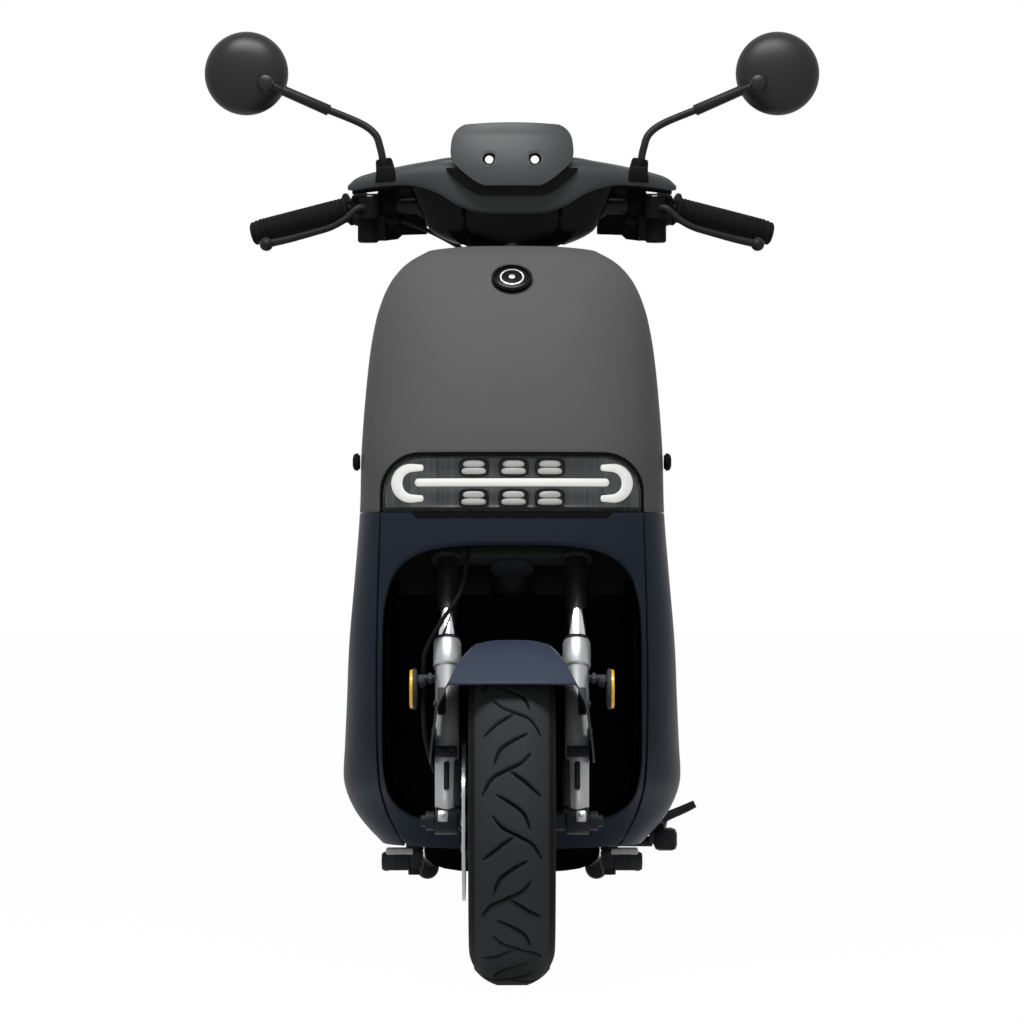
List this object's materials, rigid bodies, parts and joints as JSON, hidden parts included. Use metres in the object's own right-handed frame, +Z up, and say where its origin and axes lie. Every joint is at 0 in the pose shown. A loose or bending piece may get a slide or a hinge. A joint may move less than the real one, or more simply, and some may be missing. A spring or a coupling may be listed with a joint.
{
  "type": "moped scooter",
  "caption": "Step-through moped scooter with steered front fork, sprung rear hub wheel, round mirrors, hinged seat, folding stands and foot pegs.",
  "frame": {"origin": "on the ground under the middle of the scooter's length and width", "axes": "front is -Y, up is +Z, +X is the rider's left-hand side"},
  "size_m": [0.823, 1.765, 1.2384],
  "materials": {
    "frame": "satin black",
    "head_bearings": "ground",
    "front_shield": "satin charcoal",
    "front_cowl": "navy satin",
    "side_panels": "navy satin",
    "inner_shield": "textured black",
    "under_tray": "textured black",
    "floorboard": "textured black",
    "headlight_unit": "smoked reflector",
    "headlight_lens": "smoked clear",
    "shield_trim": "gloss black",
    "rear_panels": "satin charcoal",
    "grab_rail": "black powder coat",
    "rear_lights": "red lens",
    "rear_fender": "textured black",
    "storage_tub": "textured black",
    "battery": "moulded case",
    "seat_cushion": "black grained",
    "seat_base": "textured black",
    "key_switch": "polished",
    "steering_stem": "satin black",
    "handlebar": "satin black",
    "handlebar_cover": "satin grey",
    "handlebar_skirt": "gloss black",
    "flyscreen": "satin charcoal",
    "dash_display": "gloss black",
    "left_grip": "matte",
    "switch_housings": "fine texture",
    "brake_hose": "braided",
    "throttle_grip": "matte",
    "brake_lever_left": "satin black",
    "brake_lever_right": "satin black",
    "turn_switch": "fine texture",
    "horn_button": "fine texture",
    "mirror_arm_left": "satin black",
    "mirror_arm_right": "satin black",
    "mirror_head_left": "satin black with mirror glass",
    "mirror_head_right": "satin black with mirror glass",
    "fork_lowers": "cast silver",
    "front_axle": "zinc plated",
    "front_fender": "navy satin",
    "front_caliper": "black anodised",
    "side_reflectors": "amber prism",
    "front_tyre": "matte",
    "front_rim": "satin black",
    "front_disc": "turned",
    "swingarm": "satin black",
    "rear_axle": "zinc plated",
    "rear_caliper": "black anodised",
    "rear_tyre": "matte",
    "hub_motor": "satin black",
    "rear_disc": "turned",
    "shock_bodies": "satin black",
    "shock_springs": "silver",
    "shock_rods": "hard chrome",
    "side_stand": "black powder coat",
    "centre_stand": "black powder coat",
    "peg_left": "ribbed",
    "peg_right": "ribbed"
  },
  "bodies": {
    "chassis": {"frame": "frame", "head_bearings": "head_bearings", "front_shield": "front_shield", "front_cowl": "front_cowl", "side_panels": "side_panels", "inner_shield": "inner_shield", "under_tray": "under_tray", "floorboard": "floorboard", "headlight_unit": "headlight_unit", "headlight_lens": "headlight_lens", "shield_trim": "shield_trim", "rear_panels": "rear_panels", "grab_rail": "grab_rail", "rear_lights": "rear_lights", "rear_fender": "rear_fender", "storage_tub": "storage_tub", "battery": "battery"},
    "seat": {"seat_cushion": "seat_cushion", "seat_base": "seat_base"},
    "key": {"key_switch": "key_switch"},
    "steering": {"steering_stem": "steering_stem", "handlebar": "handlebar", "handlebar_cover": "handlebar_cover", "handlebar_skirt": "handlebar_skirt", "flyscreen": "flyscreen", "dash_display": "dash_display", "left_grip": "left_grip", "switch_housings": "switch_housings", "brake_hose": "brake_hose"},
    "throttle": {"throttle_grip": "throttle_grip"},
    "lever_left": {"brake_lever_left": "brake_lever_left"},
    "lever_right": {"brake_lever_right": "brake_lever_right"},
    "turn_switch_body": {"turn_switch": "turn_switch"},
    "horn_body": {"horn_button": "horn_button"},
    "mirror_arm_l": {"mirror_arm_left": "mirror_arm_left"},
    "mirror_arm_r": {"mirror_arm_right": "mirror_arm_right"},
    "mirror_head_l": {"mirror_head_left": "mirror_head_left"},
    "mirror_head_r": {"mirror_head_right": "mirror_head_right"},
    "fork": {"fork_lowers": "fork_lowers", "front_axle": "front_axle", "front_fender": "front_fender", "front_caliper": "front_caliper", "side_reflectors": "side_reflectors"},
    "front_wheel": {"front_tyre": "front_tyre", "front_rim": "front_rim", "front_disc": "front_disc"},
    "swing": {"swingarm": "swingarm", "rear_axle": "rear_axle", "rear_caliper": "rear_caliper"},
    "rear_wheel": {"rear_tyre": "rear_tyre", "hub_motor": "hub_motor", "rear_disc": "rear_disc"},
    "shock_upper": {"shock_bodies": "shock_bodies", "shock_springs": "shock_springs"},
    "shock_lower": {"shock_rods": "shock_rods"},
    "stand_side": {"side_stand": "side_stand"},
    "stand_centre": {"centre_stand": "centre_stand"},
    "peg_l": {"peg_left": "peg_left"},
    "peg_r": {"peg_right": "peg_right"}
  },
  "joints": [
    {"name": "steering_turn", "type": "hinge", "parent": "chassis", "child": "steering", "pos_m": [0, -0.65503, 0.19404], "axis": [0, 0.4384, 0.8988], "range_deg": [-38, 38]},
    {"name": "fork_slide", "type": "slide", "parent": "steering", "child": "fork", "axis": [0, 0.4384, 0.8988], "range_m": [0, 0.07], "stiffness_N_per_m": 12000, "springref_m": -0.09, "deforming": ["brake_hose"]},
    {"name": "front_wheel_spin", "type": "hinge", "parent": "fork", "child": "front_wheel", "pos_m": [0, -0.6775, 0.205], "axis": [1, 0, 0], "continuous": true},
    {"name": "swingarm_pivot", "type": "hinge", "parent": "chassis", "child": "swing", "pos_m": [0, 0.3225, 0.25], "axis": [1, 0, 0], "range_deg": [0, 12], "stiffness_Nm_per_rad": 2600, "springref_deg": -11.46},
    {"name": "rear_wheel_spin", "type": "hinge", "parent": "swing", "child": "rear_wheel", "pos_m": [0, 0.6125, 0.208], "axis": [1, 0, 0], "continuous": true},
    {"name": "shock_swing", "type": "hinge", "parent": "chassis", "child": "shock_upper", "pos_m": [0.118, 0.5225, 0.596], "axis": [1, 0, 0], "range_deg": [0, 1]},
    {"name": "shock_slide", "type": "slide", "parent": "shock_upper", "child": "shock_lower", "axis": [0, -0.2107, 0.9775], "range_m": [0, 0.058], "deforming": ["shock_springs"]},
    {"name": "seat_hinge", "type": "hinge", "parent": "chassis", "child": "seat", "pos_m": [0, 0.0225, 0.722], "axis": [1, 0, 0], "range_deg": [0, 75]},
    {"name": "key_turn", "type": "hinge", "parent": "chassis", "child": "key", "pos_m": [-0.062, -0.2755, 0.85], "axis": [0, 1, 0], "range_deg": [0, 90]},
    {"name": "throttle_twist", "type": "hinge", "parent": "steering", "child": "throttle", "pos_m": [-0.215, -0.2475, 0.999], "axis": [-0.9497, 0.2142, -0.2285], "range_deg": [0, 70], "stiffness_Nm_per_rad": 0.4},
    {"name": "brake_lever_left_pull", "type": "hinge", "parent": "steering", "child": "lever_left", "pos_m": [0.188, -0.2795, 0.997], "axis": [0, 0, 1], "range_deg": [0, 10], "stiffness_Nm_per_rad": 2},
    {"name": "brake_lever_right_pull", "type": "hinge", "parent": "steering", "child": "lever_right", "pos_m": [-0.188, -0.2795, 0.997], "axis": [0, 0, -1], "range_deg": [0, 10], "stiffness_Nm_per_rad": 2},
    {"name": "turn_switch_slide", "type": "slide", "parent": "steering", "child": "turn_switch_body", "axis": [1, 0, 0], "range_m": [-0.003, 0.003]},
    {"name": "horn_push", "type": "slide", "parent": "steering", "child": "horn_body", "axis": [0, -1, 0], "range_m": [0, 0.002], "stiffness_N_per_m": 400},
    {"name": "mirror_arm_left_swivel", "type": "hinge", "parent": "steering", "child": "mirror_arm_l", "pos_m": [0.166, -0.2495, 1.03], "axis": [0, 0, 1], "range_deg": [-30, 30]},
    {"name": "mirror_head_left_tilt", "type": "hinge", "parent": "mirror_arm_l", "child": "mirror_head_l", "pos_m": [0.3285, -0.2425, 1.1674], "axis": [1, 0, 0], "range_deg": [-10, 10]},
    {"name": "mirror_arm_right_swivel", "type": "hinge", "parent": "steering", "child": "mirror_arm_r", "pos_m": [-0.166, -0.2495, 1.03], "axis": [0, 0, 1], "range_deg": [-30, 30]},
    {"name": "mirror_head_right_tilt", "type": "hinge", "parent": "mirror_arm_r", "child": "mirror_head_r", "pos_m": [-0.3285, -0.2425, 1.1674], "axis": [1, 0, 0], "range_deg": [-10, 10]},
    {"name": "side_stand_swing", "type": "hinge", "parent": "chassis", "child": "stand_side", "pos_m": [0.198, -0.2075, 0.165], "axis": [1, 0, 0], "range_deg": [-95, 0], "stiffness_Nm_per_rad": 6, "springref_deg": 14.32},
    {"name": "centre_stand_swing", "type": "hinge", "parent": "chassis", "child": "stand_centre", "pos_m": [0, 0.2475, 0.16], "axis": [1, 0, 0], "range_deg": [-70, 0], "stiffness_Nm_per_rad": 12, "springref_deg": 17.19},
    {"name": "peg_left_fold", "type": "hinge", "parent": "chassis", "child": "peg_l", "pos_m": [0.132, -0.1175, 0.125], "axis": [0, 0, 1], "range_deg": [0, 80]},
    {"name": "peg_right_fold", "type": "hinge", "parent": "chassis", "child": "peg_r", "pos_m": [-0.132, -0.1175, 0.125], "axis": [0, 0, 1], "range_deg": [-80, 0]}
  ],
  "couplings": [
    {"joint": "shock_swing", "follows": "swingarm_pivot", "ratio": 0.06125},
    {"joint": "shock_slide", "follows": "swingarm_pivot", "m_per_rad": 0.27106}
  ]
}
